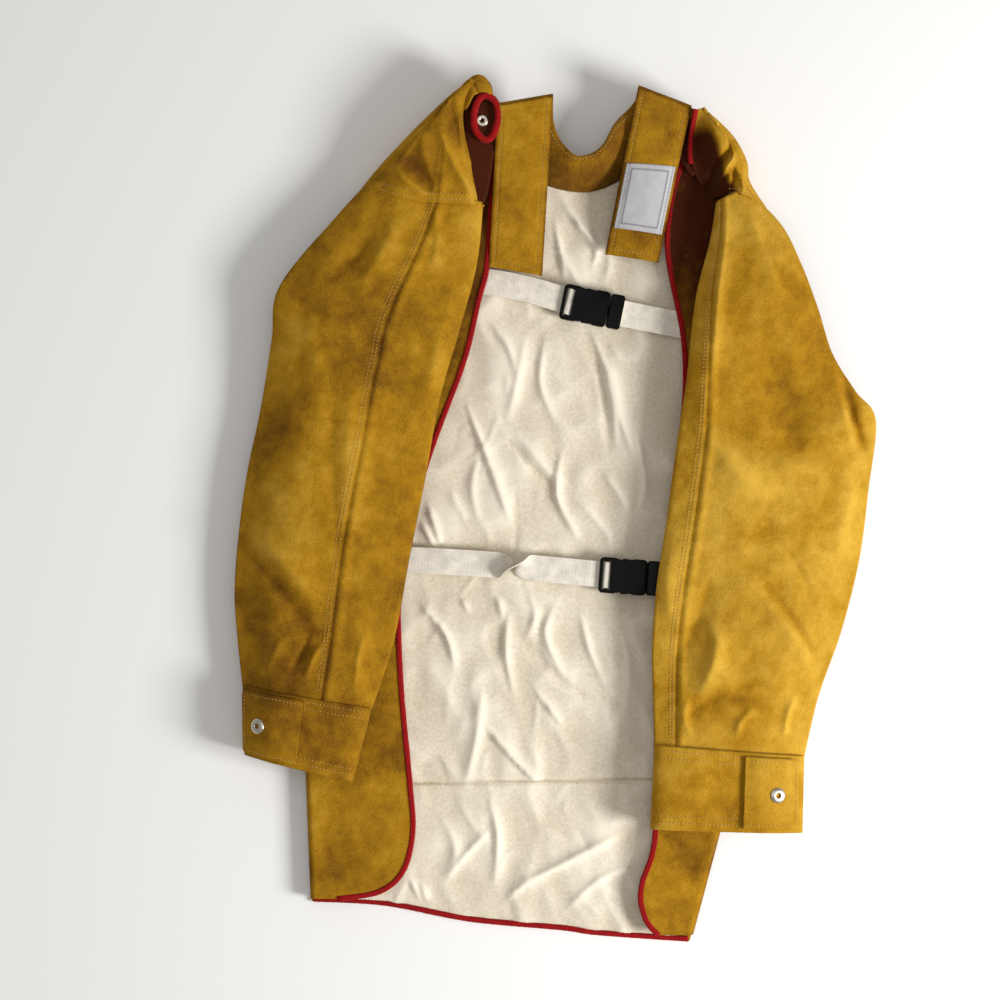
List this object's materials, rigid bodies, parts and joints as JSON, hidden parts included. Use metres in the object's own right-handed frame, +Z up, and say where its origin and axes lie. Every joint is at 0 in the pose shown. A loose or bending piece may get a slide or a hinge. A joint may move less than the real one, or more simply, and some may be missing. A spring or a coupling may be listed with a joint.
{
  "type": "leather welding jacket",
  "caption": "Open-back leather welding jacket with sleeves, laid on its front, closed behind by webbing straps with side-release buckles; snapped cuffs, folded collar ends.",
  "frame": {"origin": "centre of the footprint, on the surface the jacket lies on", "axes": "+X to the wearer's right arm, +Y to the collar, +Z up, out of the open back"},
  "size_m": [0.6056, 0.821, 0.0576],
  "materials": {
    "leather": "golden split cowhide, napped",
    "lining": "undyed cotton drill",
    "binding": "red bias tape",
    "webbing": "undyed cotton webbing",
    "plastic": "moulded acetal, fine grain",
    "nickel": "nickel-plated snap, dull",
    "label": "woven label, blank",
    "hook": "hook and loop tape"
  },
  "bodies": {
    "jacket_body": {"front_panel": "leather", "lining_upper": "lining", "lining_lower": "lining", "hem_binding": "binding", "left_back_panel": "leather", "right_back_panel": "leather", "left_back_binding": "binding", "right_back_binding": "binding", "left_shoulder_yoke": "leather", "right_shoulder_yoke": "leather", "collar_stand": "leather", "neck_tab": "leather", "neck_tab_binding": "binding", "neck_snap_socket": "nickel", "upper_buckle_housing": "plastic", "upper_buckle_plug": "plastic", "upper_strap_left": "webbing", "upper_strap_right": "webbing", "lower_buckle_housing": "plastic", "lower_buckle_plug": "plastic", "lower_strap_left": "webbing", "lower_strap_right": "webbing"},
    "left_sleeve": {"left_sleeve_upper_panel": "leather", "left_sleeve_under_panel": "leather", "left_cuff_band": "leather", "left_snap_stud": "nickel"},
    "right_sleeve": {"right_sleeve_upper_panel": "leather", "right_sleeve_under_panel": "leather", "right_cuff_band": "leather", "right_snap_stud": "nickel"},
    "left_collar_flap": {"left_collar_end": "leather", "left_collar_fastener": "hook"},
    "right_collar_flap": {"right_collar_end": "leather", "size_label": "label", "right_collar_fastener": "hook"},
    "left_cuff_flap": {"left_cuff_tab": "leather", "left_snap_socket": "nickel", "left_snap_cap": "nickel"},
    "right_cuff_flap": {"right_cuff_tab": "leather", "right_snap_socket": "nickel", "right_snap_cap": "nickel"},
    "upper_buckle_upper_prong": {"upper_buckle_upper_prong": "plastic"},
    "upper_buckle_lower_prong": {"upper_buckle_lower_prong": "plastic"},
    "lower_buckle_upper_prong": {"lower_buckle_upper_prong": "plastic"},
    "lower_buckle_lower_prong": {"lower_buckle_lower_prong": "plastic"}
  },
  "joints": [
    {"name": "left_sleeve_swing", "type": "hinge", "parent": "jacket_body", "child": "left_sleeve", "pos_m": [-0.12128, 0.3015, 0.03], "axis": [0, 0, 1], "range_deg": [-30, 0]},
    {"name": "right_sleeve_swing", "type": "hinge", "parent": "jacket_body", "child": "right_sleeve", "pos_m": [0.16672, 0.2965, 0.03], "axis": [0, 0, 1], "range_deg": [0, 30]},
    {"name": "left_cuff_flap_lift", "type": "hinge", "parent": "left_sleeve", "child": "left_cuff_flap", "pos_m": [-0.23753, -0.2115, 0.0472], "axis": [0.1146, 0.9934, 0], "range_deg": [0, 90]},
    {"name": "right_cuff_flap_lift", "type": "hinge", "parent": "right_sleeve", "child": "right_cuff_flap", "pos_m": [0.17466, -0.26635, 0.04719], "axis": [-0.0389, -0.9992, 0], "range_deg": [0, 90]},
    {"name": "left_collar_flap_lift", "type": "hinge", "parent": "jacket_body", "child": "left_collar_flap", "pos_m": [-0.02778, 0.385, 0.044], "axis": [-0.9859, -0.1674, 0], "range_deg": [0, 150]},
    {"name": "right_collar_flap_lift", "type": "hinge", "parent": "jacket_body", "child": "right_collar_flap", "pos_m": [0.10372, 0.388, 0.044], "axis": [-0.9348, 0.3552, 0], "range_deg": [0, 150]},
    {"name": "upper_buckle_upper_prong_squeeze", "type": "hinge", "parent": "jacket_body", "child": "upper_buckle_upper_prong", "pos_m": [0.05422, 0.20254, 0.0138], "axis": [0, 0, 1], "range_deg": [0, 6], "stiffness_Nm_per_rad": 2.5},
    {"name": "upper_buckle_lower_prong_squeeze", "type": "hinge", "parent": "jacket_body", "child": "upper_buckle_lower_prong", "pos_m": [0.04931, 0.17844, 0.0138], "axis": [0, 0, 1], "range_deg": [-6, 0], "stiffness_Nm_per_rad": 2.5},
    {"name": "lower_buckle_upper_prong_squeeze", "type": "hinge", "parent": "jacket_body", "child": "lower_buckle_upper_prong", "pos_m": [0.08867, -0.05284, 0.0138], "axis": [0, 0, 1], "range_deg": [0, 6], "stiffness_Nm_per_rad": 2.5},
    {"name": "lower_buckle_lower_prong_squeeze", "type": "hinge", "parent": "jacket_body", "child": "lower_buckle_lower_prong", "pos_m": [0.08687, -0.07737, 0.0138], "axis": [0, 0, 1], "range_deg": [-6, 0], "stiffness_Nm_per_rad": 2.5}
  ]
}
